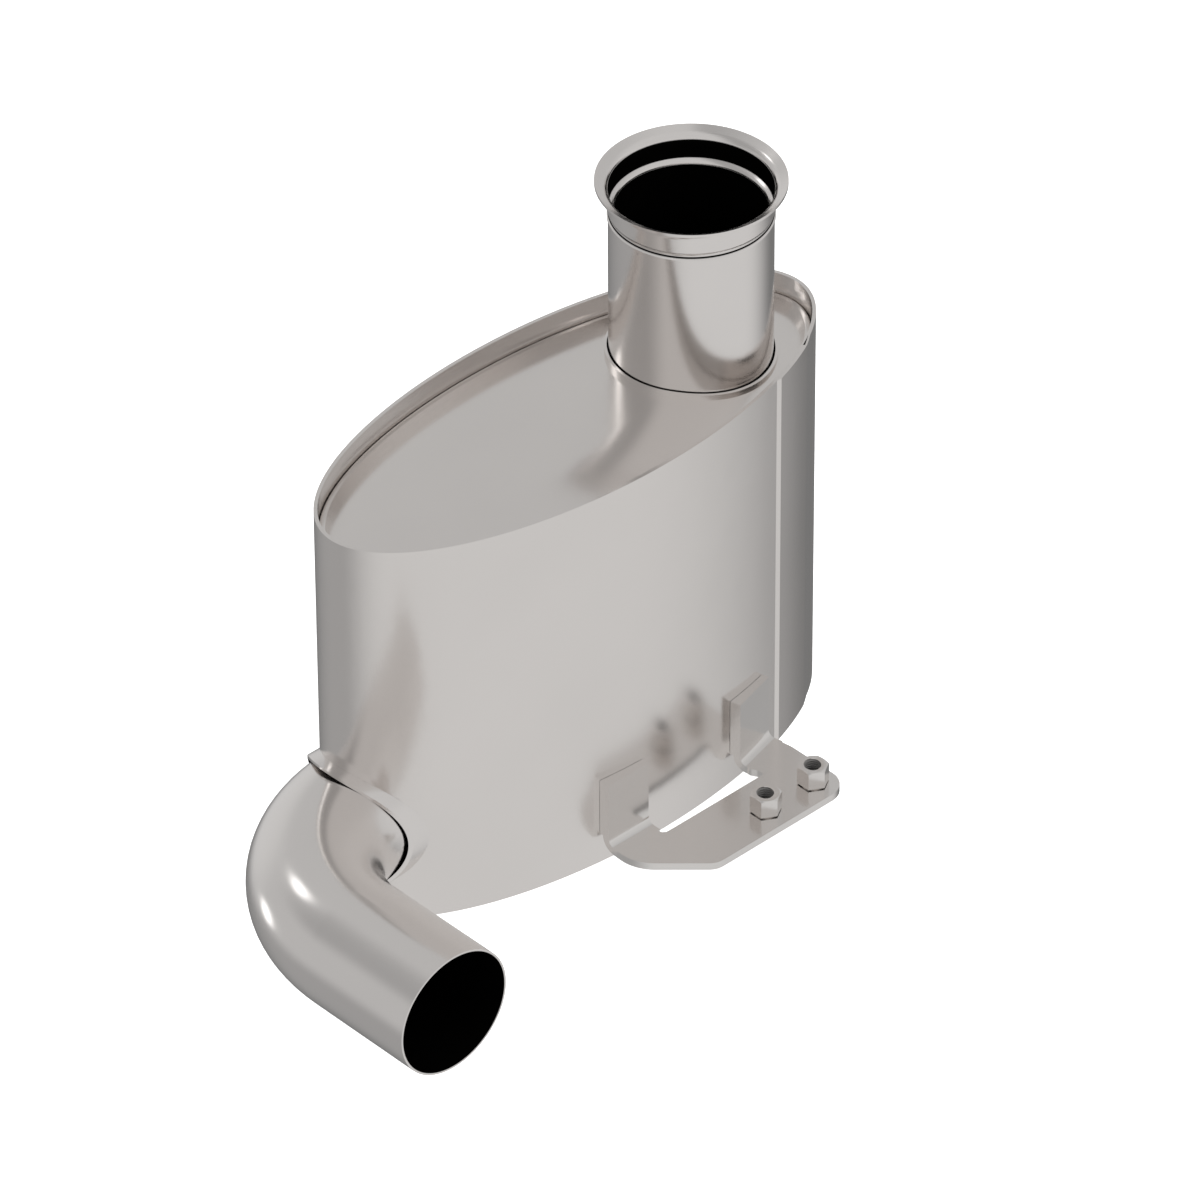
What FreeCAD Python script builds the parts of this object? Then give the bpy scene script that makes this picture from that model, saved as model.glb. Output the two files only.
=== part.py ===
import FreeCAD, Part
import math
import os

# Exhaust muffler: an oval wrapped shell that stands on its lower rim, with an
# inlet pipe and clamp flange on top, an outlet elbow low on one end, and a
# bent mounting bracket with two weld nuts on one long side.
# Millimetres. The sizes are given from the shell's own axis, at its lower rim:
# +X along the oval towards the inlet end, -Y towards the bracket, +Z up.
# At the end every piece is shifted so that the origin is the middle of the
# whole part's box, at the height of the lower rim.

# Shell
shell_half_length = 229.35
shell_half_width = 97.85
shell_height = 330.0
wrap_sheet = 1.5
lap_start_angle = -39.9
lap_climb_angle = -35.3
lap_end_angle = -54.2
lap_weld_angle = -55.3

# End caps
cap_sheet = 2.0
cap_recess = 16.5
cap_skirt_length = 22.0
cap_edge_radius = 3.2
cap_ledge_width = 5.5
cap_crown = 8.0
cap_crown_width = 55.0
wall_clearance = 0.15

# Inlet
inlet_offset = 122.0
inlet_radius = 60.0
pipe_wall = 2.0
inlet_top_above_shell = 110.0
inlet_hole_clearance = 1.1
inlet_neck_height = 4.5

# Clamp flange
flange_height = 30.5
flange_sheet = 1.5
flange_radius = 69.7
flange_rim = 2.4
flange_slope_width = 5.7
flange_slope_angle = 28.0
flange_collar_step = 0.8
flange_bead_top = 22.5
flange_bead_width = 6.5
flange_bead_depth = 3.0
flange_groove_depth = 1.2

# Baffles and the tubes between the chambers
baffle_sheet = 1.5
baffle_skirt = 12.0
upper_baffle_height = 225.0
lower_baffle_height = 145.0
tube_wall = 1.5
tube_fit = 0.15
tube_reach = 16.0
rising_tube_radius = 30.0
rising_tube_offset = -62.0
falling_tube_radius = 22.0
falling_tube_offset = 22.0
falling_tube_spread = 46.0
inlet_pipe_reach = 12.0

# Perforation
hole_radius = 3.0
hole_pitch = 12.0
holes_round = 12

# Outlet, with its places along X counted from the shell's far end
outlet_radius = 50.0
outlet_height = 73.5
outlet_entry = 43.35
outlet_bend_entry = 27.35
outlet_bend_radius = 110.0
outlet_tail = 103.0
outlet_tube_length = 158.0
outlet_tube_margin = 22.0
support_from_end = 18.0
support_sheet = 2.0
support_half_width = 62.0
wool_can_radius = 60.0
wool_can_from_start = 22.0
wool_can_length = 96.0
wool_can_sheet = 1.2

# Collar round the outlet
collar_gap = 2.5
collar_sheet = 2.2
collar_stand = 9.5

# Bracket, with its places along Y counted from the shell's side
plate_sheet = 6.0
plate_bottom = 14.9
bend_inner_radius = 6.0
tab_width = 40.0
tab_height = 60.6
tab_seat_gap = 0.15
left_tab_centre = -39.5
right_tab_turn = 14.8
right_tab_along = 67.1
plate_depth = 75.5
plate_left = -60.7
plate_left_corner_depth = 33.7
plate_left_corner_radius = 34.0
plate_front_left = -16.7
plate_front_left_radius = 15.0
plate_right = 117.5
plate_right_back = 115.0
plate_right_back_depth = 14.0
plate_right_back_radius = 20.0
plate_corner_radius = 18.0
window_left = -21.6
window_right = 76.0
window_depth = 23.6
window_corner = 5.0
window_notch_right = 80.0
window_notch_depth = 18.0
window_notch_start = 10.0
window_notch_radius = 1.5

# Weld nuts
nut_across_flats = 21.0
nut_height = 16.0
nut_bore_radius = 6.0
nut_mouth = 0.6
nut_top_share = 0.97
nut_chamfer_slope = 0.577
nut_foot_height = 1.0
nut_foot_inset = 1.2
nut_spacing = 48.0
nut_pair_centre = 75.9
nut_row_depth = 54.8
plate_hole_radius = 7.5

# Worked out from the sizes above
V = FreeCAD.Vector
Z = V(0, 0, 1)
X = V(1, 0, 0)
plate_top = plate_bottom + plate_sheet
cap_ledge = shell_height - cap_recess
cap_outer_a = shell_half_length - 2 * wrap_sheet - wall_clearance
cap_outer_b = shell_half_width - 2 * wrap_sheet - wall_clearance
flange_top = shell_height + inlet_top_above_shell + flange_height
inlet_top = flange_top - flange_height
outlet_inner_end = outlet_entry - shell_half_length
outlet_bend_start = outlet_bend_entry - shell_half_length
outlet_tube_end = outlet_inner_end + outlet_tube_length
elbow_far = outlet_bend_start - outlet_bend_radius
outlet_face = -(outlet_bend_radius + outlet_tail)
box_low = V(elbow_far - outlet_radius, outlet_face, 0)
box_high = V(shell_half_length, shell_half_width, 0)
to_origin = (box_low + box_high) * -0.5


def oval(half_length, half_width, height):
    """Closed oval wire at one height."""
    curve = Part.Ellipse(V(0, 0, height), half_length, half_width)
    return Part.Wire([curve.toShape()])


def oval_block(inset, low, high):
    """Solid oval, smaller than the shell's outside by inset all round."""
    wire = oval(shell_half_length - inset, shell_half_width - inset, low)
    return Part.Face(wire).extrude(V(0, 0, high - low))


def upright(radius, low, high, x=0.0, y=0.0):
    """Solid round bar along Z."""
    return Part.makeCylinder(radius, high - low, V(x, y, low), Z)


def turned(points, x=0.0, y=0.0):
    """Solid of revolution about Z from a list of (radius, height)."""
    outline = Part.makePolygon([V(r, 0, h) for r, h in points + points[:1]])
    body = Part.Face(outline).revolve(V(0, 0, 0), Z, 360)
    body.translate(V(x, y, 0))
    return body


def on_shell(angle, offset):
    """Point beside the shell's oval, offset outwards, at an angle in degrees."""
    c = math.cos(math.radians(angle))
    s = math.sin(math.radians(angle))
    return V((shell_half_length + offset) * c, (shell_half_width + offset) * s, 0)


def smooth(points):
    """Smooth edge through points."""
    curve = Part.BSplineCurve()
    curve.interpolate(points)
    return curve.toShape()


def lap_strip(inner, outer, steps=8):
    """Strip beside the shell from (angle, offset) ends, as a flat face."""
    def side(ends):
        (a0, d0), (a1, d1) = ends
        parts = [k / steps for k in range(steps + 1)]
        return [on_shell(a0 + (a1 - a0) * k, d0 + (d1 - d0) * k) for k in parts]
    first = side(inner)
    second = side(outer)
    edges = [smooth(first), smooth(second)]
    if (first[0] - second[0]).Length > 1e-6:
        edges.append(Part.makeLine(first[0], second[0]))
    if (first[-1] - second[-1]).Length > 1e-6:
        edges.append(Part.makeLine(first[-1], second[-1]))
    return Part.Face(Part.Wire(Part.__sortEdges__(edges)))


def elbow_bar(radius):
    """Solid bar along the outlet's path: in through the shell, round the bend, out."""
    straight_length = outlet_inner_end - outlet_bend_start
    entry = Part.makeCylinder(
        radius, straight_length, V(outlet_bend_start, 0, outlet_height), X)
    ring = Part.makeTorus(
        outlet_bend_radius, radius,
        V(outlet_bend_start, -outlet_bend_radius, outlet_height), Z, -180, 180, 90)
    ring.rotate(V(outlet_bend_start, -outlet_bend_radius, outlet_height), Z, 90)
    tail = Part.makeCylinder(
        radius, outlet_tail, V(elbow_far, outlet_face, outlet_height), V(0, 1, 0))
    return entry.fuse(ring).fuse(tail)


def outlet_bar(radius):
    """Solid round bar that the collar and the shell's hole are cut with."""
    return Part.makeCylinder(radius, shell_half_length,
                             V(-1.5 * shell_half_length, 0, outlet_height), X)


def outlet_passage():
    """Hole for the outlet through the shell and its collar."""
    return outlet_bar(outlet_radius + collar_gap)


def shell_inner_wrap():
    ring = oval_block(wrap_sheet, 0, shell_height)
    ring = ring.cut(oval_block(2 * wrap_sheet, 0, shell_height))
    return ring.cut(outlet_passage())


def shell_outer_wrap():
    ring = oval_block(0, 0, shell_height)
    ring = ring.cut(oval_block(wrap_sheet, 0, shell_height))
    up = V(0, 0, shell_height)
    wedge = lap_strip(
        [(lap_climb_angle, -wrap_sheet), (lap_start_angle, -wrap_sheet)],
        [(lap_climb_angle, -wrap_sheet), (lap_start_angle, -0.05)]).extrude(up)
    climb = lap_strip(
        [(lap_climb_angle, -0.5 * wrap_sheet), (lap_start_angle, -0.5 * wrap_sheet)],
        [(lap_climb_angle, 0), (lap_start_angle, wrap_sheet)]).extrude(up)
    flap = lap_strip(
        [(lap_start_angle, -0.5 * wrap_sheet), (lap_end_angle, -0.5 * wrap_sheet)],
        [(lap_start_angle, wrap_sheet), (lap_end_angle, wrap_sheet)]).extrude(up)
    seam_weld = lap_strip(
        [(lap_end_angle, -0.5 * wrap_sheet), (lap_weld_angle, -0.5 * wrap_sheet)],
        [(lap_end_angle, wrap_sheet), (lap_weld_angle, 0)]).extrude(up)
    ring = ring.fuse([climb, flap, seam_weld]).cut(wedge)
    return ring.cut(outlet_passage()).removeSplitter()


def cap_profile():
    """(inset, drop) pairs of the cap's outside, from its skirt to the panel."""
    low = cap_skirt_length
    points = [(0, low), (0, cap_edge_radius)]
    for k in range(1, 10):
        turn = math.radians(10 * k)
        points.append((cap_edge_radius * (1 - math.cos(turn)),
                       cap_edge_radius * (1 - math.sin(turn))))
    for k in range(17):
        share = k / 16
        lift = cap_crown * math.sin(share * math.pi / 2)
        points.append((cap_ledge_width + cap_crown_width * share, -lift))
    return points


def cap_block(thinner):
    """Solid in the shape of the cap's outside, or of its inside if thinner."""
    wires = []
    for inset, drop in cap_profile():
        fade = 1 - min(max(drop, 0), cap_edge_radius) / cap_edge_radius
        inward = inset + thinner * (1 - fade)
        wires.append(oval(cap_outer_a - inward, cap_outer_b - inward,
                          cap_ledge - drop - thinner * fade))
    return Part.makeLoft(wires, True, True)


def cap_shape():
    return cap_block(0).cut(cap_block(cap_sheet))


def turned_over(shape):
    """The same shape at the other end of the shell."""
    shape.rotate(V(0, 0, shell_height / 2), X, 180)
    return shape


def top_end_cap():
    """Upper pan with the inlet's hole, its edge turned up as a neck."""
    bore = inlet_radius + inlet_hole_clearance
    raised = cap_block(0)
    raised.translate(V(0, 0, inlet_neck_height))
    above = 2 * shell_height
    neck = upright(bore + cap_sheet, 0, above, inlet_offset).common(raised)
    hole = upright(bore, 0, above, inlet_offset)
    return cap_block(0).fuse(neck).cut(cap_block(cap_sheet)).cut(hole)


def bottom_end_cap():
    """Lower pan, the same pressing turned over, with no hole."""
    return turned_over(cap_shape())


def flange_bend(offset):
    """Points of the bend from the flange's slope into its collar."""
    inner = inlet_radius + flange_collar_step - flange_sheet
    slope_foot = flange_radius - flange_slope_width
    bend = (slope_foot - inner) / (1 - math.sin(math.radians(flange_slope_angle)))
    drop = flange_slope_width * math.tan(math.radians(flange_slope_angle))
    drop += bend * math.cos(math.radians(flange_slope_angle))
    steps = 8
    points = []
    for k in range(steps + 1):
        turn = math.radians(flange_slope_angle + (90 - flange_slope_angle) * k / steps)
        points.append((inner + bend - (bend - offset) * math.sin(turn),
                       flange_top - drop + (bend - offset) * math.cos(turn)))
    return points


def bead(radius, deep, end_radius, steps=10):
    """Points down the collar's wall over its inward bead, to an end radius."""
    high = flange_top - flange_bead_top
    points = []
    for k in range(steps + 1):
        share = k / steps
        dip = deep * math.sin(share * math.pi)
        points.append((radius + (end_radius - radius) * share - dip,
                       high - flange_bead_width * share))
    return points


def inlet_flange():
    """Rolled clamp flange with a collar and a bead round it."""
    outer = inlet_radius + flange_collar_step
    inner = outer - flange_sheet
    foot = inlet_radius - pipe_wall
    points = [(flange_radius, flange_top)] + flange_bend(0)
    points += bead(inner, flange_bead_depth, foot)
    points += [(foot, inlet_top), (outer, inlet_top)]
    points += bead(outer, flange_groove_depth, outer)[::-1]
    points += flange_bend(flange_sheet)[::-1]
    points += [(flange_radius, flange_top - flange_rim)]
    return turned(points, inlet_offset)


def inlet_pipe():
    low = upper_baffle_height - inlet_pipe_reach
    bar = upright(inlet_radius, low, inlet_top, inlet_offset)
    return bar.cut(upright(inlet_radius - pipe_wall, low, inlet_top, inlet_offset))


def ring_of_holes(radius, height, turn):
    """Radial drills for one row of a tube that stands on the Z axis."""
    drills = []
    for k in range(holes_round):
        angle = math.radians(turn + 360.0 * k / holes_round)
        way = V(math.cos(angle), math.sin(angle), 0)
        drills.append(Part.makeCylinder(hole_radius, 2 * tube_wall + 4,
                                        way * (radius - tube_wall - 2) + Z * height, way))
    return drills


def perforated_tube(radius, length, margin):
    """Tube along Z from the origin, with staggered rows of holes."""
    tube = upright(radius, 0, length).cut(upright(radius - tube_wall, 0, length))
    rows = int((length - 2 * margin) / hole_pitch) + 1
    first = (length - (rows - 1) * hole_pitch) / 2
    drills = []
    for row in range(rows):
        turn = (row % 2) * 180.0 / holes_round
        drills += ring_of_holes(radius, first + row * hole_pitch, turn)
    return tube.cut(Part.makeCompound(drills))


def inlet_perforated_tube():
    low = lower_baffle_height + baffle_sheet
    high = upper_baffle_height - inlet_pipe_reach
    tube = perforated_tube(inlet_radius, high - low, hole_pitch)
    tube.translate(V(inlet_offset, 0, low))
    return tube


def baffle(height, passages):
    """Pressed oval plate with a skirt on the shell and holes for the tubes."""
    inset = 2 * wrap_sheet + wall_clearance
    pan = oval_block(inset, height - baffle_skirt, height + baffle_sheet)
    hollow = oval_block(inset + baffle_sheet, height - baffle_skirt, height)
    pan = pan.cut(hollow)
    for x, y, radius in passages:
        pan = pan.cut(upright(radius + tube_fit, height - 1, height + baffle_sheet + 1, x, y))
    return pan


def falling_tubes():
    return [(falling_tube_offset, side * falling_tube_spread, falling_tube_radius)
            for side in (-1, 1)]


def upper_baffle():
    passages = [(inlet_offset, 0, inlet_radius)]
    passages += [(rising_tube_offset, 0, rising_tube_radius)]
    return baffle(upper_baffle_height, passages + falling_tubes())


def lower_baffle():
    return baffle(lower_baffle_height, falling_tubes())


def transfer_tube(x, y, radius, low, high):
    tube = upright(radius, low, high, x, y)
    return tube.cut(upright(radius - tube_wall, low, high, x, y))


def transfer_tube_up():
    return transfer_tube(rising_tube_offset, 0, rising_tube_radius,
                         upper_baffle_height - tube_reach,
                         upper_baffle_height + baffle_sheet + tube_reach)


def transfer_tube_down(side):
    return transfer_tube(falling_tube_offset, side * falling_tube_spread,
                         falling_tube_radius, lower_baffle_height - tube_reach,
                         upper_baffle_height + baffle_sheet + tube_reach)


def outlet_elbow():
    return elbow_bar(outlet_radius).cut(elbow_bar(outlet_radius - pipe_wall))


def outlet_perforated_tube():
    length = outlet_tube_end - outlet_inner_end
    tube = perforated_tube(outlet_radius, length, outlet_tube_margin)
    tube.rotate(V(0, 0, 0), V(0, 1, 0), 90)
    tube.translate(V(outlet_inner_end, 0, outlet_height))
    return tube


def along_outlet(radius, start, length):
    """Solid round bar on the outlet tube's own axis inside the shell."""
    return Part.makeCylinder(radius, length, V(start, 0, outlet_height), X)


def outlet_tube_support():
    """Upright plate between the lower pan and the lower baffle, round the tube."""
    place = outlet_tube_end - support_from_end
    skirt_end = cap_recess + cap_skirt_length
    foot = Part.makeBox(support_sheet, 2 * support_half_width, skirt_end,
                        V(place, -support_half_width, 0))
    foot = foot.common(turned_over(cap_block(cap_sheet)))
    plate = Part.makeBox(support_sheet, 2 * support_half_width,
                         lower_baffle_height - skirt_end,
                         V(place, -support_half_width, skirt_end))
    bore = along_outlet(outlet_radius + tube_fit, place - 1, support_sheet + 2)
    return plate.fuse(foot).removeSplitter().cut(bore)


def outlet_wool_can():
    """Sealed sleeve with two end rings round the perforated outlet tube."""
    wool_can_start = outlet_inner_end + wool_can_from_start
    can = along_outlet(wool_can_radius, wool_can_start, wool_can_length)
    inside = along_outlet(wool_can_radius - wool_can_sheet,
                          wool_can_start + wool_can_sheet,
                          wool_can_length - 2 * wool_can_sheet)
    bore = along_outlet(outlet_radius + tube_fit, wool_can_start - 1, wool_can_length + 2)
    return can.cut(inside).cut(bore)


def outlet_wool_packing():
    wool_can_start = outlet_inner_end + wool_can_from_start
    pad = along_outlet(wool_can_radius - wool_can_sheet - tube_fit,
                       wool_can_start + wool_can_sheet + tube_fit,
                       wool_can_length - 2 * (wool_can_sheet + tube_fit))
    bore = along_outlet(outlet_radius + tube_fit, wool_can_start, wool_can_length)
    return pad.cut(bore)


def outlet_collar():
    """Saddle ring that follows the shell's curve round its hole."""
    band = oval_block(-collar_stand, 0, shell_height)
    band = band.cut(oval_block(0, 0, shell_height))
    ring = band.common(outlet_bar(outlet_radius + collar_gap + collar_sheet))
    return ring.cut(outlet_passage())


def tangent_distance(turn):
    """Distance from the shell's axis to its upright tangent face, turned in degrees."""
    s = math.sin(math.radians(turn))
    c = math.cos(math.radians(turn))
    return math.hypot(shell_half_length * s, shell_half_width * c)


def bracket_tab(turn, along):
    """Tab, its bend and a strip of the plate, against the shell's side."""
    near = -tangent_distance(turn)
    bend_y = near - plate_sheet - bend_inner_radius
    bend_z = plate_top + bend_inner_radius
    outer = bend_inner_radius + plate_sheet
    left = along - tab_width / 2
    tab = Part.makeBox(tab_width, plate_sheet + shell_half_width, tab_height - outer,
                       V(left, near - plate_sheet, bend_z))
    bend = Part.makeCylinder(outer, tab_width, V(left, bend_y, bend_z), X)
    bend = bend.cut(Part.makeCylinder(bend_inner_radius, tab_width,
                                      V(left, bend_y, bend_z), X))
    quarter = Part.makeBox(tab_width, outer, outer, V(left, bend_y, bend_z - outer))
    strip = Part.makeBox(tab_width, plate_sheet, plate_sheet,
                         V(left, bend_y - plate_sheet, plate_bottom))
    for piece in (tab, bend, quarter, strip):
        piece.rotate(V(0, 0, 0), Z, turn)
    tab = tab.cut(oval_block(-tab_seat_gap, 0, shell_height))
    return tab.fuse([bend.common(quarter), strip])


def rounded(points):
    """Closed outline from (point, corner radius) pairs."""
    edges = []
    joints = []
    count = len(points)
    for k in range(count):
        here, radius = points[k]
        before = points[k - 1][0] - here
        after = points[(k + 1) % count][0] - here
        if radius == 0:
            joints.append((here, here, here))
            continue
        half = before.getAngle(after) / 2
        reach = radius / math.tan(half)
        start = here + before.normalize() * reach
        end = here + after.normalize() * reach
        middle_way = (before + after).normalize()
        middle = here + middle_way * (radius / math.sin(half) - radius)
        joints.append((start, middle, end))
    for k in range(count):
        start, middle, end = joints[k]
        if start != end:
            edges.append(Part.Arc(start, middle, end).toShape())
        following = joints[(k + 1) % count][0]
        edges.append(Part.makeLine(end, following))
    return Part.Face(Part.Wire(edges))


def bend_line(turn, x):
    """Point where the plate begins to bend up into a tab, at a given x."""
    reach = tangent_distance(turn) + plate_sheet + bend_inner_radius
    s = math.sin(math.radians(turn))
    c = math.cos(math.radians(turn))
    return V(x, -(reach - x * s) / c, plate_bottom)


def beside(x, depth):
    """Point of the plate at x, a depth out from the shell's side."""
    return V(x, -shell_half_width - depth, plate_bottom)


def bracket_plate():
    """Flat part of the bracket, with the window that opens towards the shell."""
    outline = [
        (bend_line(0, left_tab_centre - tab_width / 2), 0),
        (beside(plate_left, plate_left_corner_depth), plate_left_corner_radius),
        (beside(plate_front_left, plate_depth), plate_front_left_radius),
        (beside(plate_right, plate_depth), plate_corner_radius),
        (beside(plate_right, plate_right_back_depth), plate_right_back_radius),
        (bend_line(right_tab_turn, plate_right_back), 0),
        (bend_line(right_tab_turn, window_right), 0),
        (beside(window_right - 0.5, window_notch_start), window_corner),
        (beside(window_notch_right, window_notch_depth), window_corner),
        (beside(window_notch_right, window_depth), window_notch_radius),
        (beside(window_left, window_depth), window_corner),
        (bend_line(0, window_left), 0),
    ]
    return rounded(outline).extrude(V(0, 0, plate_sheet))


def nut_places():
    row = -shell_half_width - nut_row_depth
    return [V(nut_pair_centre + side * nut_spacing / 2, row, 0) for side in (-1, 1)]


def mounting_bracket():
    plate = bracket_plate()
    tabs = [bracket_tab(0, left_tab_centre), bracket_tab(right_tab_turn, right_tab_along)]
    plate = plate.fuse(tabs)
    for place in nut_places():
        plate = plate.cut(upright(plate_hole_radius, 0, shell_height, place.x, place.y))
    return plate.removeSplitter()


def weld_nut(place):
    """Six-sided nut on a round foot, threaded hole through it."""
    corner = nut_across_flats / math.sqrt(3)
    low = plate_top + nut_foot_height
    high = plate_top + nut_height
    points = []
    for k in range(7):
        turn = math.radians(60 * k - 90)
        points.append(V(place.x + corner * math.cos(turn),
                        place.y + corner * math.sin(turn), low))
    body = Part.Face(Part.makePolygon(points)).extrude(V(0, 0, high - low))
    foot_radius = nut_across_flats / 2 - nut_foot_inset
    body = body.fuse(upright(foot_radius, plate_top, low, place.x, place.y))
    body = body.cut(upright(nut_bore_radius, plate_top, high, place.x, place.y))
    mouth = Part.makeCone(nut_bore_radius, nut_bore_radius + nut_mouth, nut_mouth,
                          V(place.x, place.y, high - nut_mouth), Z)
    top = nut_across_flats / 2 * nut_top_share
    tip = Part.makeCone(top + (high - plate_top) / nut_chamfer_slope, top,
                        high - plate_top, V(place.x, place.y, plate_top), Z)
    return body.cut(mouth).common(tip)


def pieces():
    """Every piece of the muffler by its own name."""
    near, far = nut_places()
    return {
        "shell_inner_wrap": shell_inner_wrap(),
        "shell_outer_wrap": shell_outer_wrap(),
        "top_end_cap": top_end_cap(),
        "bottom_end_cap": bottom_end_cap(),
        "inlet_flange": inlet_flange(),
        "inlet_pipe": inlet_pipe(),
        "inlet_perforated_tube": inlet_perforated_tube(),
        "upper_baffle": upper_baffle(),
        "lower_baffle": lower_baffle(),
        "transfer_tube_up": transfer_tube_up(),
        "transfer_tube_down_front": transfer_tube_down(-1),
        "transfer_tube_down_rear": transfer_tube_down(1),
        "outlet_elbow": outlet_elbow(),
        "outlet_perforated_tube": outlet_perforated_tube(),
        "outlet_tube_support": outlet_tube_support(),
        "outlet_wool_can": outlet_wool_can(),
        "outlet_wool_packing": outlet_wool_packing(),
        "outlet_collar": outlet_collar(),
        "mounting_bracket": mounting_bracket(),
        "weld_nut_near": weld_nut(near),
        "weld_nut_far": weld_nut(far),
    }


os.makedirs("parts", exist_ok=True)
for name, shape in pieces().items():
    shape.translate(to_origin)
    if len(shape.Solids) == 1:
        shape = shape.Solids[0]
    box = shape.BoundBox
    print(f"{name}: {len(shape.Solids)} solid, valid {shape.isValid()}, "
          f"{shape.Volume / 1000:.1f} cm3, x {box.XMin:.2f} {box.XMax:.2f}, "
          f"y {box.YMin:.2f} {box.YMax:.2f}, z {box.ZMin:.2f} {box.ZMax:.2f}")
    shape.exportStep(f"parts/{name}.step")
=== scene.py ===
"""The look of an oval exhaust muffler: satin stainless sheet, tube and plate."""

import math

import bmesh
import bpy
from bpy.props import FloatProperty, FloatVectorProperty, PointerProperty
from mathutils import Matrix, Vector


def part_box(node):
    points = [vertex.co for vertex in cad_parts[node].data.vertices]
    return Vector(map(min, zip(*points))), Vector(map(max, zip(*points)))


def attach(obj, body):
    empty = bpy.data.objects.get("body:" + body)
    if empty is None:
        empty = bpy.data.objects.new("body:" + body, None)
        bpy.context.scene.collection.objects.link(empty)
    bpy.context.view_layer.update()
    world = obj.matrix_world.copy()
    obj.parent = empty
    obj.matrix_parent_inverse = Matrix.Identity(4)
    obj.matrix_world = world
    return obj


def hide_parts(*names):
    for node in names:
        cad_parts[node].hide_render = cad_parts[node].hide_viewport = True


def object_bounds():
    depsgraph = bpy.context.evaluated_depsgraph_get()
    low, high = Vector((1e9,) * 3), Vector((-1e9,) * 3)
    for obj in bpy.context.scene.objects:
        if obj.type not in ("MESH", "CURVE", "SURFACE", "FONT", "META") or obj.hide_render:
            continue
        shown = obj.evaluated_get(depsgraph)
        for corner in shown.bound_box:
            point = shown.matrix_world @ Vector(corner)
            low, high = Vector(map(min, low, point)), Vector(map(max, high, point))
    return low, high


bl_info = {
    "name": "Exhaust muffler",
    "version": (1, 0, 0),
    "blender": (4, 5, 0),
    "location": "View3D > Sidebar > Muffler",
    "description": "Dresses an oval exhaust muffler in satin stainless steel",
    "category": "Object",
}

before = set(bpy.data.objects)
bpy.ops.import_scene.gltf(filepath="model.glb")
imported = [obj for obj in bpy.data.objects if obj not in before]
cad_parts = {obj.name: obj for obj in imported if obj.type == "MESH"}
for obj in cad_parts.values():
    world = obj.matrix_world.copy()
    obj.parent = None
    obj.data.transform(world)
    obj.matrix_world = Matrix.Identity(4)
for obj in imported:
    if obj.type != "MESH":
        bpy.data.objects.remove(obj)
cad_low, cad_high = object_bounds()
MM = 0.001
BODY = "root"

# Weld nuts
NUT_SIDES = 6
NUT_TURN = math.radians(90)
NUT_ACROSS_FLATS = 21 * MM
NUT_BORE = 6 * MM
NUT_FOOT = 1 * MM
NUT_FOOT_INSET = 1.2 * MM
NUT_TOP_SHARE = 0.97
NUT_CHAMFER_SLOPE = math.tan(math.radians(30))
NUT_SHARP_ANGLE = math.radians(25)
ROUND_STEPS = 96

# Thread: its groove's flat root and its crest, as shares of a pitch from the middle
THREAD_PITCH = 2 * MM
THREAD_DEPTH = 1.05 * MM
THREAD_ROOT = 0.2
THREAD_CREST = 0.4
THREAD_STEPS = 8

# Elbow's bend, and how much wider the flange's collar is than the pipe
BEND_RADIUS = 110 * MM
COLLAR_STEP = 1.3 * MM
COLLAR_FADE = 0.2 * MM

# Painted shade, a near-black colour inside the pipes: how deep its edge lies in each wall,
# and the widths over which it fades
INLET_SKIN = 1.0 * MM
OUTLET_SKIN = 1.3 * MM
PAINTED_SHADE_FADE = 0.4 * MM
PAINTED_SHADE_END_FADE = 1 * MM
PAINTED_SHADE_DARK_SHARE = 0.5
PAINTED_SHADE_ROUGHNESS = 0.6

# The flange's bright bead, which the painted shade leaves bare, down from the flange's top
BEAD_TOP = 22.4 * MM
BEAD_TOP_FADE = 0.4 * MM
BEAD_FOOT = 25.9 * MM
BEAD_FOOT_FADE = 0.5 * MM

# Painted shade in the nuts' threaded bores
BORE_SHADE = 0.8
BORE_SHADE_TOP = 0.3 * MM
BORE_SHADE_FADE = 0.6 * MM
BORE_SHADE_REACH = 1.2

# Noise, as scale per metre and detail
CLOUD_NOISE = (9.0, 3.0)
GRAIN_NOISE = (900.0, 2.0)
PAINTED_SHADE_NOISE = (160.0, 5.0)
TUFT_NOISE = (220.0, 6.0)

# Steel
CLOUD_TINT = 0.035
GLOSS_SWING = 0.03
GRAIN_STRENGTH = 0.02
GRAIN_HEIGHT = 0.3 * MM

# Wool
WOOL_DARK_SHARE = 0.6
WOOL_STRENGTH = 0.8
WOOL_HEIGHT = 2 * MM
WOOL_ROUGHNESS = 0.95

# Studio: the cosines or heights between which one light gives way to the next
SIDE_FADE = (-0.2, 1.0)
GROUND_FADE = (-0.56, -0.25)
FRONT_FADE = (-0.3, 0.8)
SHADE_FADE = (0.6, 1.0)
CEILING_FADE = (-0.12, 0.5)
WALL_FADE = (0.2, 0.5)

# Lamps, as name, place, side and power
LAMPS = (("key", (1.2, -2.2, 2.4), 1.6, 60),
         ("fill", (-2.4, -0.6, 2.0), 1.2, 25))
LAMP_AIM = (0, 0, 0.2)

# Floor and camera
FLOOR_GAP = 0.5 * MM
FLOOR_COLOUR = (0.8, 0.8, 0.8, 1)
FLOOR_GLOW = 0.9
SENSOR_WIDTH = 36.0
VIEW_DEPTH = 100.0


class Field:
    """A value that changes over a surface, with ordinary arithmetic."""

    def __init__(self, finish, socket):
        self.finish = finish
        self.socket = socket

    def _maths(self, operation, first, second):
        return self.finish.node("ShaderNodeMath", {"operation": operation},
                                {0: first, 1: second})

    def __add__(self, other):
        return self._maths("ADD", self, other)

    __radd__ = __add__

    def __sub__(self, other):
        return self._maths("SUBTRACT", self, other)

    def __rsub__(self, other):
        return self._maths("SUBTRACT", other, self)

    def __mul__(self, other):
        return self._maths("MULTIPLY", self, other)

    __rmul__ = __mul__


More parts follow.
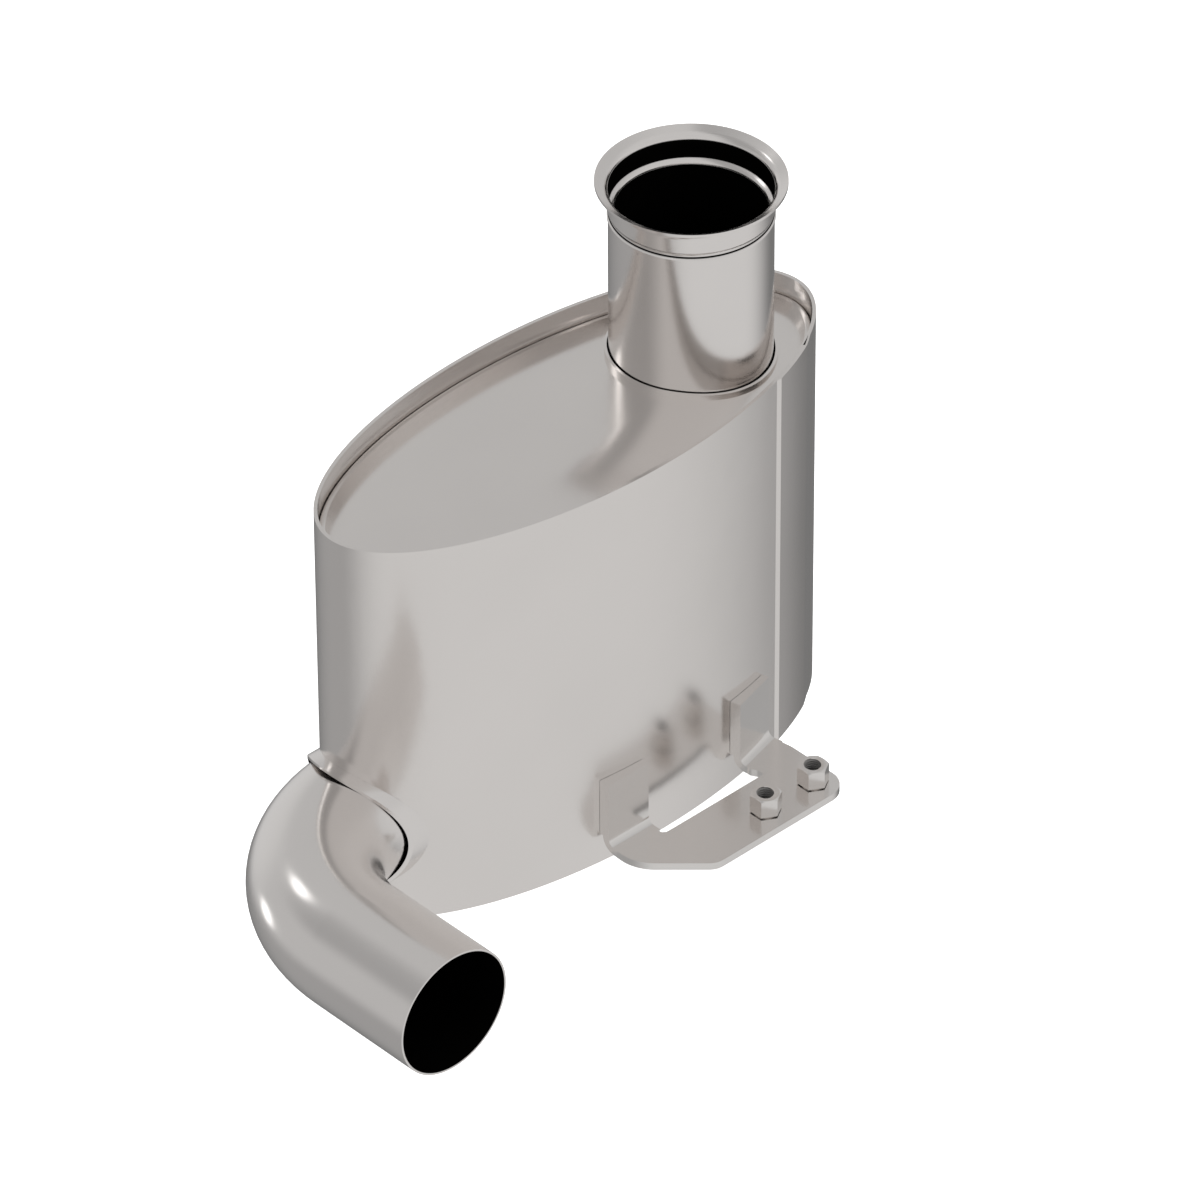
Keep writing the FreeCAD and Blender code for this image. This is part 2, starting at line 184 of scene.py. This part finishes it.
class Finish:
    """A node tree that is built one node at a time."""

    def __init__(self, name, world=False):
        if world:
            self.owner = bpy.data.worlds.new(name)
        else:
            self.owner = bpy.data.materials.new(name)
        self.owner.use_nodes = True
        self.tree = self.owner.node_tree
        self.tree.nodes.clear()

    def node(self, kind, settings=None, sockets=None, output=0):
        """A node with its settings, then its sockets' values or links."""
        made = self.tree.nodes.new(kind)
        for key, value in (settings or {}).items():
            setattr(made, key, value)
        for key, value in (sockets or {}).items():
            if isinstance(value, Field):
                self.tree.links.new(value.socket, made.inputs[key])
            else:
                made.inputs[key].default_value = value
        return Field(self, made.outputs[output])

    def ease(self, value, low, high, start=0.0, end=1.0):
        """Goes smoothly from start to end as a value goes from low to high."""
        return self.node("ShaderNodeMapRange", {"interpolation_type": "SMOOTHSTEP"},
                         {0: value, 1: low, 2: high, 3: start, 4: end})

    def span(self, place, centre, mask):
        """Distance from a point, along the axes that the mask keeps."""
        kept = self.node("ShaderNodeVectorMath", {"operation": "MULTIPLY"},
                         {0: place, 1: mask})
        aim = tuple(c * m for c, m in zip(centre, mask))
        return self.node("ShaderNodeVectorMath", {"operation": "DISTANCE"},
                         {0: kept, 1: aim}, output="Value")

    def end(self, kind, surface):
        """Links the last shader to the tree's output."""
        out = self.tree.nodes.new(kind)
        self.tree.links.new(surface.socket, out.inputs[0])
        return self.owner


def noise(finish, scale, detail):
    """Smooth noise from 0 to 1 in the piece's own space, scale per metre."""
    place = finish.node("ShaderNodeTexCoord", output="Object")
    return finish.node("ShaderNodeTexNoise", None,
                       {"Vector": place, "Scale": scale, "Detail": detail})


def tint(finish, factor, dark, light):
    """A colour between two, by a factor."""
    return finish.node("ShaderNodeMix", {"data_type": "RGBA"},
                       {0: factor, 6: (*dark, 1), 7: (*light, 1)}, output=2)


def object_place(finish):
    """Place on the piece in its own space, as a vector and as x, y and z."""
    place = finish.node("ShaderNodeTexCoord", output="Object")
    axes = [finish.node("ShaderNodeSeparateXYZ", None, {0: place}, output=axis)
            for axis in "XYZ"]
    return place, *axes


def inlet_painted_shade(finish):
    """1 on the inner walls of the inlet, where shade is painted, except on its flange's
    bead.
    """
    low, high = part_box("inlet_pipe")
    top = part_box("inlet_flange")[1].z
    centre = (low + high) / 2
    radius = (high.x - low.x) / 2
    place, _, _, z = object_place(finish)
    away = finish.span(place, centre, (1, 1, 0))
    wider = finish.ease(z, high.z - COLLAR_FADE, high.z, 0.0, COLLAR_STEP)
    edge = radius - INLET_SKIN
    inside = finish.ease(away - wider, edge - PAINTED_SHADE_FADE, edge, 1.0, 0.0)
    bead_foot = finish.ease(z, top - BEAD_FOOT - BEAD_FOOT_FADE, top - BEAD_FOOT)
    bead_top = finish.ease(z, top - BEAD_TOP - BEAD_TOP_FADE, top - BEAD_TOP, 1.0, 0.0)
    return inside * (1.0 - bead_foot * bead_top)


def outlet_painted_shade(finish):
    """1 on the inner walls of the elbow, where shade is painted."""
    low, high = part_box("outlet_elbow")
    radius = (high.z - low.z) / 2
    level = (low.z + high.z) / 2
    tail = Vector((low.x + radius, 0, level))
    bend = Vector((tail.x + BEND_RADIUS, high.y - radius - BEND_RADIUS, level))
    place, x, y, z = object_place(finish)
    past_mouth = finish.ease(y, bend.y - PAINTED_SHADE_END_FADE, bend.y)
    straight = finish.span(place, tail, (1, 0, 1))
    ring = finish.span(place, bend, (1, 1, 0)) - BEND_RADIUS
    rise = z - level
    curved = finish.node("ShaderNodeMath", {"operation": "SQRT"},
                         {0: ring * ring + rise * rise})
    away = straight + (curved - straight) * past_mouth
    edge = radius - OUTLET_SKIN
    before_shell = finish.ease(x, bend.x - PAINTED_SHADE_END_FADE, bend.x, 1.0, 0.0)
    return finish.ease(away, edge - PAINTED_SHADE_FADE, edge, 1.0, 0.0) * before_shell


def bore_painted_shade(name):
    """A mask of painted shade in a nut's threaded bore."""
    low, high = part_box(name)
    centre = (low + high) / 2

    def mask(finish):
        place, _, _, z = object_place(finish)
        away = finish.span(place, centre, (1, 1, 0))
        inside = finish.ease(away, NUT_BORE + THREAD_DEPTH,
                             NUT_BORE + BORE_SHADE_REACH * THREAD_DEPTH, 1.0, 0.0)
        edge = high.z - BORE_SHADE_TOP
        below = finish.ease(z, edge - BORE_SHADE_FADE, edge, BORE_SHADE, 0.0)
        return inside * below
    return mask


def steel(name, colour, roughness, painted_shade=None, painted_shade_colour=None):
    """Satin steel with faint clouding, uneven gloss and a very fine grain, and painted shade
    where a mask is given.
    """
    finish = Finish(name)
    cloud = noise(finish, *CLOUD_NOISE)
    fine = noise(finish, *GRAIN_NOISE)
    dark = tuple((1 - CLOUD_TINT) * c for c in colour)
    light = tuple(min(1.0, (1 + CLOUD_TINT) * c) for c in colour)
    base = tint(finish, cloud, dark, light)
    gloss = (cloud - 0.5) * GLOSS_SWING + (fine - 0.5) * GLOSS_SWING + roughness
    metal = 1.0
    # Painted shade: where the mask is 1 the steel turns a dark, rough, less metallic colour
    # that stands for the darkness in hollows.
    if painted_shade:
        mask = painted_shade(finish)
        shade_tint = tint(finish, noise(finish, *PAINTED_SHADE_NOISE),
                     tuple(PAINTED_SHADE_DARK_SHARE * c for c in painted_shade_colour), painted_shade_colour)
        base = finish.node("ShaderNodeMix", {"data_type": "RGBA"},
                           {0: mask, 6: base, 7: shade_tint}, output=2)
        gloss = gloss + mask * PAINTED_SHADE_ROUGHNESS
        metal = 1.0 - mask
    bump = finish.node("ShaderNodeBump", None,
                       {"Strength": GRAIN_STRENGTH, "Distance": GRAIN_HEIGHT,
                        "Height": fine})
    shader = finish.node("ShaderNodeBsdfPrincipled", None, {
        "Base Color": base, "Metallic": metal, "Roughness": gloss, "Normal": bump,
        "Specular IOR Level": 0.0})
    return finish.end("ShaderNodeOutputMaterial", shader)


def wool(name, colour):
    """Matted mineral fibre."""
    finish = Finish(name)
    tuft = noise(finish, *TUFT_NOISE)
    base = tint(finish, tuft, tuple(WOOL_DARK_SHARE * c for c in colour), colour)
    bump = finish.node("ShaderNodeBump", None,
                       {"Strength": WOOL_STRENGTH, "Distance": WOOL_HEIGHT,
                        "Height": tuft})
    shader = finish.node("ShaderNodeBsdfPrincipled", None, {
        "Base Color": base, "Roughness": WOOL_ROUGHNESS, "Normal": bump})
    return finish.end("ShaderNodeOutputMaterial", shader)


class MufflerFinish(bpy.types.PropertyGroup):
    """Colours and gloss of the muffler's metals."""

    sheet_colour: FloatVectorProperty(
        name="Sheet colour", description="Colour of the shell and end caps",
        subtype="COLOR", default=(0.80, 0.768, 0.745), min=0, max=1)
    tube_colour: FloatVectorProperty(
        name="Tube colour", description="Colour of the pipes, elbow and flange",
        subtype="COLOR", default=(0.80, 0.77, 0.75), min=0, max=1)
    bracket_colour: FloatVectorProperty(
        name="Bracket colour", description="Colour of the bracket and nuts",
        subtype="COLOR", default=(0.79, 0.765, 0.745), min=0, max=1)
    # Near-black painted shade inside the pipes and the nuts' bores
    painted_shade_colour: FloatVectorProperty(
        name="Painted shade colour", description="Colour inside the pipes",
        subtype="COLOR", default=(0.0012, 0.0011, 0.0010), min=0, max=1)
    wool_colour: FloatVectorProperty(
        name="Wool colour", description="Colour of the packing",
        subtype="COLOR", default=(0.70, 0.62, 0.42), min=0, max=1)
    # The inner tubes and lower baffle are painted near-black as shade
    gas_side_shade_colour: FloatVectorProperty(
        name="Gas side colour", description="Colour of the shade-painted inner tubes",
        subtype="COLOR", default=(0.006, 0.0056, 0.0052), min=0, max=1)
    gas_side_shade_roughness: FloatProperty(
        name="Gas side roughness", description="Gloss of the shade-painted inner tubes",
        default=0.6, min=0, max=1)
    nut_roughness: FloatProperty(
        name="Nut roughness", description="Gloss of the nuts",
        default=0.20, min=0, max=1)
    sheet_roughness: FloatProperty(
        name="Sheet roughness", description="Gloss of the shell",
        default=0.19, min=0, max=1)
    tube_roughness: FloatProperty(
        name="Tube roughness", description="Gloss of the tubes",
        default=0.17, min=0, max=1)


class MufflerStage(bpy.types.PropertyGroup):
    """Camera, floor and lamps."""

    azimuth: FloatProperty(
        name="Azimuth", description="How far the camera stands round to the left",
        subtype="ANGLE", default=math.radians(43.161))
    elevation: FloatProperty(
        name="Elevation", description="Height of the camera above the horizon",
        subtype="ANGLE", default=math.radians(37.351))
    roll: FloatProperty(
        name="Roll", description="Tilt of the picture",
        subtype="ANGLE", default=math.radians(-0.2865))
    camera_place: FloatVectorProperty(
        name="Camera place", description="Where the camera stands",
        subtype="TRANSLATION", unit="LENGTH", default=(-3.99427, -4.30492, 4.70460))
    lens: FloatProperty(
        name="Lens", description="Focal length in millimetres", default=309.54)
    floor_size: FloatProperty(
        name="Floor size", description="Side of the floor", unit="LENGTH", default=30.0)
    world_level: FloatProperty(
        name="World level", description="Light from all round on what isn't metal",
        default=0.55)
    front_way: FloatProperty(
        name="Front panel", description="Compass direction of the large light panel",
        subtype="ANGLE", default=math.radians(-94))
    front_level: FloatProperty(
        name="Front level", description="Brightness of the large light panel",
        default=0.71)
    side_way: FloatProperty(
        name="Side panel", description="Compass direction of the low side light",
        subtype="ANGLE", default=math.radians(150))
    side_level: FloatProperty(
        name="Side level", description="Brightness of the low side light",
        default=0.40)
    ground_level: FloatProperty(
        name="Ground level", description="Brightness of the ground behind",
        default=0.20)
    room_level: FloatProperty(
        name="Room level", description="Brightness of the room behind and above",
        default=0.57)
    ceiling_way: FloatProperty(
        name="Ceiling light", description="Compass direction of the light high up",
        subtype="ANGLE", default=math.radians(-103))
    ceiling_level: FloatProperty(
        name="Ceiling level", description="Brightness of the light high up",
        default=0.66)
    shade_way: FloatProperty(
        name="Shade", description="Compass direction of the dark part of the ceiling",
        subtype="ANGLE", default=math.radians(155))
    shade_level: FloatProperty(
        name="Shade level", description="Brightness of the dark part of the ceiling",
        default=0.41)
    glint_level: FloatProperty(
        name="Glint level", description="Brightness of the two small lights",
        default=1.5)
    glint_spread: FloatProperty(
        name="Glint spread", description="Half width of the two small lights",
        subtype="ANGLE", default=math.radians(8))
    window_level: FloatProperty(
        name="Window level", description="Extra brightness of the window behind",
        default=0.12)
    window_spread: FloatProperty(
        name="Window spread", description="Half width of the window behind",
        subtype="ANGLE", default=math.radians(32))
    window: FloatVectorProperty(
        name="Window", description="Compass direction and height of the window behind",
        size=2, subtype="DIRECTION", default=(math.radians(78), 0))
    low_glint: FloatVectorProperty(
        name="Low glint", description="Compass direction and height of the low light",
        size=2, subtype="DIRECTION", default=(math.radians(112), math.radians(-14)))
    high_glint: FloatVectorProperty(
        name="High glint", description="Compass direction and height of the high light",
        size=2, subtype="DIRECTION", default=(math.radians(104), math.radians(37)))


def give(material, *names):
    """Puts one material on every slot of the named frame pieces."""
    for name in names:
        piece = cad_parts[name]
        if not piece.material_slots:
            piece.data.materials.append(material)
        for slot in piece.material_slots:
            slot.link = "OBJECT"
            slot.material = material


class MUFFLER_OT_dress(bpy.types.Operator):
    """Gives every piece of the frame its finish"""

    bl_idname = "muffler.dress"
    bl_label = "Dress the pieces"

    def execute(self, context):
        look = context.scene.muffler_finish
        sheet = steel("satin sheet", look.sheet_colour, look.sheet_roughness)
        give(sheet, "shell_inner_wrap", "shell_outer_wrap", "top_end_cap",
             "bottom_end_cap", "upper_baffle", "outlet_tube_support", "outlet_wool_can")
        tube = steel("satin tube", look.tube_colour, look.tube_roughness)
        give(tube, "outlet_collar", "transfer_tube_up", "transfer_tube_down_front",
             "transfer_tube_down_rear")
        # Painted shade: the inner walls of the inlet and the elbow turn near-black.
        inlet = steel("satin inlet", look.tube_colour, look.tube_roughness,
                      inlet_painted_shade, look.painted_shade_colour)
        give(inlet, "inlet_flange", "inlet_pipe")
        outlet = steel("satin outlet", look.tube_colour, look.tube_roughness,
                       outlet_painted_shade, look.painted_shade_colour)
        give(outlet, "outlet_elbow")
        # Painted shade: the parts inside the shell are made near-black metal.
        gas_side_shade = steel("shade-painted steel", look.gas_side_shade_colour, look.gas_side_shade_roughness)
        give(gas_side_shade, "inlet_perforated_tube", "outlet_perforated_tube",
             "lower_baffle")
        plate = steel("satin plate", look.bracket_colour, look.sheet_roughness)
        give(plate, "mounting_bracket")
        give(wool("packing wool", look.wool_colour), "outlet_wool_packing")
        return {"FINISHED"}


def groove(turns):
    """Depth share of a thread's groove at a number of turns: flat, in, flat, out."""
    off_middle = abs(turns % 1.0 - 0.5)
    share = (THREAD_CREST - off_middle) / (THREAD_CREST - THREAD_ROOT)
    return min(1.0, max(0.0, share))


def nut_section(angle, low, high):
    """(radius, height) points of the nut's section at an angle, all the way round."""
    corner_step = 2 * math.pi / NUT_SIDES
    off_flat = (angle + NUT_TURN) % corner_step - corner_step / 2
    side = NUT_ACROSS_FLATS / 2 / math.cos(off_flat)
    top = NUT_ACROSS_FLATS / 2 * NUT_TOP_SHARE
    foot = NUT_ACROSS_FLATS / 2 - NUT_FOOT_INSET
    steps = round((high - low) / THREAD_PITCH * THREAD_STEPS)
    points = []
    for k in range(steps):
        height = low + (high - low) * k / steps
        turns = (height - low) / THREAD_PITCH - angle / (2 * math.pi)
        points.append((NUT_BORE + THREAD_DEPTH * groove(turns), height))
    points.append((NUT_BORE + THREAD_DEPTH, high))
    points.append((top, high))
    points.append((side, high - (side - top) * NUT_CHAMFER_SLOPE))
    points.append((side, low + NUT_FOOT))
    points.append((foot, low + NUT_FOOT))
    points.append((foot, low))
    return points


def threaded_nut(name, material):
    """A weld nut with a real thread in place of the frame's plain one."""
    low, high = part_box(name)
    axis = Vector(((low.x + high.x) / 2, (low.y + high.y) / 2, 0))
    shape = bmesh.new()
    row = shape.verts.layers.int.new("row")
    section = [shape.verts.new(axis + Vector((radius, 0, height)))
               for radius, height in nut_section(0.0, low.z, high.z)]
    for k, vert in enumerate(section):
        vert[row] = k
    edges = [shape.edges.new((section[k - 1], section[k])) for k in range(len(section))]
    bmesh.ops.spin(shape, geom=section + edges, cent=axis, axis=(0, 0, 1),
                   angle=2 * math.pi, steps=ROUND_STEPS, use_merge=True)
    for vert in shape.verts:
        away = vert.co - axis
        angle = math.atan2(away.y, away.x)
        radius, height = nut_section(angle, low.z, high.z)[vert[row]]
        vert.co = axis + Vector((radius * math.cos(angle), radius * math.sin(angle), height))
    bmesh.ops.recalc_face_normals(shape, faces=shape.faces)
    for face in shape.faces:
        face.smooth = True
    for edge in shape.edges:
        edge.smooth = edge.calc_face_angle(0.0) < NUT_SHARP_ANGLE
    mesh = bpy.data.meshes.new(name + "_threaded")
    shape.to_mesh(mesh)
    shape.free()
    mesh.materials.append(material)
    nut = bpy.data.objects.new(name + "_threaded", mesh)
    bpy.context.scene.collection.objects.link(nut)
    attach(nut, BODY)
    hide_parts(name)


class MUFFLER_OT_nuts(bpy.types.Operator):
    """Makes the two weld nuts with their threads"""

    bl_idname = "muffler.nuts"
    bl_label = "Make the nuts"

    def execute(self, context):
        look = context.scene.muffler_finish
        for name in ("weld_nut_near", "weld_nut_far"):
            # Each nut's steel carries painted shade in its threaded bore.
            material = steel("satin " + name, look.bracket_colour, look.nut_roughness,
                             bore_painted_shade(name), look.painted_shade_colour)
            threaded_nut(name, material)
        return {"FINISHED"}


def area_lamp(name, place, side, power):
    """A soft lamp that looks at the muffler and isn't seen in its metal."""
    data = bpy.data.lights.new(name, "AREA")
    data.shape = "RECTANGLE"
    data.size = side
    data.size_y = side
    data.energy = power
    lamp = bpy.data.objects.new(name, data)
    lamp.location = place
    lamp.visible_glossy = False
    ahead = Vector(LAMP_AIM) - Vector(place)
    lamp.rotation_euler = ahead.to_track_quat("-Z", "Y").to_euler()
    bpy.context.scene.collection.objects.link(lamp)


def set_camera(stage):
    """The camera at the photograph's angle."""
    data = bpy.data.cameras.new("camera")
    data.lens = stage.lens
    data.sensor_width = SENSOR_WIDTH
    data.clip_end = VIEW_DEPTH
    camera = bpy.data.objects.new("camera", data)
    bpy.context.scene.collection.objects.link(camera)
    azimuth, elevation = stage.azimuth, stage.elevation
    ahead = Vector((math.sin(azimuth) * math.cos(elevation),
                    math.cos(azimuth) * math.cos(elevation), -math.sin(elevation)))
    right = Vector((math.cos(azimuth), -math.sin(azimuth), 0))
    up = right.cross(ahead)
    turn = Matrix((right, up, -ahead)).transposed().to_4x4()
    turn = turn @ Matrix.Rotation(stage.roll, 4, "Z")
    camera.matrix_world = Matrix.Translation(stage.camera_place) @ turn
    bpy.context.scene.camera = camera


def facing(finish, way, azimuth, elevation=0.0):
    """Cosine between a direction and one given by its compass angle and height."""
    aim = (math.cos(azimuth) * math.cos(elevation),
           math.sin(azimuth) * math.cos(elevation), math.sin(elevation))
    return finish.node("ShaderNodeVectorMath", {"operation": "DOT_PRODUCT"},
                       {0: way, 1: aim}, output="Value")


def room(finish, stage):
    """Brightness of the studio that the metal mirrors, by direction."""
    way = finish.node("ShaderNodeTexCoord")
    height = finish.node("ShaderNodeSeparateXYZ", None, {0: way}, output="Z")
    level_way = finish.node("ShaderNodeVectorMath", {"operation": "MULTIPLY"},
                            {0: way, 1: (1, 1, 0)})
    compass = finish.node("ShaderNodeVectorMath", {"operation": "NORMALIZE"},
                          {0: level_way})
    ground = finish.ease(facing(finish, compass, stage.side_way), *SIDE_FADE,
                         stage.ground_level, stage.side_level)
    behind = finish.ease(height, *GROUND_FADE, ground, stage.room_level)
    front = finish.ease(facing(finish, compass, stage.front_way), *FRONT_FADE)
    walls = behind + (stage.front_level - behind) * front
    shade = finish.ease(facing(finish, compass, stage.shade_way), *SHADE_FADE,
                        stage.room_level, stage.shade_level)
    light = finish.ease(facing(finish, compass, stage.ceiling_way), *CEILING_FADE)
    ceiling = shade + (stage.ceiling_level - shade) * light
    return walls + (ceiling - walls) * finish.ease(height, *WALL_FADE)


def glow(finish, place, spread, level):
    """A soft round light in the room, at a compass direction and height."""
    way = finish.node("ShaderNodeTexCoord")
    return finish.ease(facing(finish, way, *place), math.cos(spread), 1.0, 0.0, level)


def set_world(stage):
    """The studio in the metal, an even light on the rest, white to the camera."""
    finish = Finish("studio", world=True)
    seen = finish.node("ShaderNodeLightPath", output="Is Camera Ray")
    mirrored = finish.node("ShaderNodeLightPath", output="Is Glossy Ray")
    studio = room(finish, stage)
    studio = studio + glow(finish, stage.window, stage.window_spread, stage.window_level)
    for place in (stage.low_glint, stage.high_glint):
        studio = studio + glow(finish, place, stage.glint_spread, stage.glint_level)
    level = (studio - stage.world_level) * mirrored + stage.world_level
    level = (1.0 - level) * seen + level
    light = finish.node("ShaderNodeBackground", None,
                        {"Color": (1, 1, 1, 1), "Strength": level})
    bpy.context.scene.world = finish.end("ShaderNodeOutputWorld", light)


def set_floor(stage):
    """A wide pale floor under the lower rim."""
    shape = bmesh.new()
    bmesh.ops.create_grid(shape, x_segments=1, y_segments=1, size=stage.floor_size / 2)
    mesh = bpy.data.meshes.new("floor")
    shape.to_mesh(mesh)
    shape.free()
    floor = bpy.data.objects.new("floor", mesh)
    floor.location.z = cad_low.z - FLOOR_GAP
    bpy.context.scene.collection.objects.link(floor)
    finish = Finish("pale floor")
    matt = finish.node("ShaderNodeBsdfDiffuse", None, {"Color": FLOOR_COLOUR})
    bright = finish.node("ShaderNodeEmission", None,
                         {"Color": (1, 1, 1, 1), "Strength": FLOOR_GLOW})
    lit = finish.node("ShaderNodeAddShader", None, {0: matt, 1: bright})
    seen = finish.node("ShaderNodeLightPath", output="Is Camera Ray")
    shown = finish.node("ShaderNodeMixShader", None, {0: seen, 1: matt, 2: lit})
    clear = finish.node("ShaderNodeBsdfTransparent")
    mirrored = finish.node("ShaderNodeLightPath", output="Is Glossy Ray")
    ground = finish.node("ShaderNodeMixShader", None, {0: mirrored, 1: shown, 2: clear})
    mesh.materials.append(finish.end("ShaderNodeOutputMaterial", ground))


class MUFFLER_OT_stage(bpy.types.Operator):
    """Sets the camera, the floor, the surround and the lamps"""

    bl_idname = "muffler.stage"
    bl_label = "Set the stage"

    def execute(self, context):
        stage = context.scene.muffler_stage
        set_camera(stage)
        set_world(stage)
        set_floor(stage)
        for lamp in LAMPS:
            area_lamp(*lamp)
        context.scene.view_settings.view_transform = "Standard"
        return {"FINISHED"}


class MUFFLER_PT_panel(bpy.types.Panel):
    """Lists the steps"""

    bl_idname = "MUFFLER_PT_panel"
    bl_label = "Muffler"
    bl_space_type = "VIEW_3D"
    bl_region_type = "UI"
    bl_category = "Muffler"

    def draw(self, context):
        for step in STEPS:
            self.layout.operator(step.bl_idname)


STEPS = (MUFFLER_OT_dress, MUFFLER_OT_nuts, MUFFLER_OT_stage)
CLASSES = (MufflerFinish, MufflerStage, *STEPS, MUFFLER_PT_panel)


def register():
    for kind in CLASSES:
        bpy.utils.register_class(kind)
    bpy.types.Scene.muffler_finish = PointerProperty(type=MufflerFinish)
    bpy.types.Scene.muffler_stage = PointerProperty(type=MufflerStage)


def unregister():
    del bpy.types.Scene.muffler_stage
    del bpy.types.Scene.muffler_finish
    for kind in reversed(CLASSES):
        bpy.utils.unregister_class(kind)


def main():
    """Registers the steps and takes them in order."""
    register()
    bpy.ops.muffler.dress()
    bpy.ops.muffler.nuts()
    bpy.ops.muffler.stage()


if __name__ == "__main__":
    main()
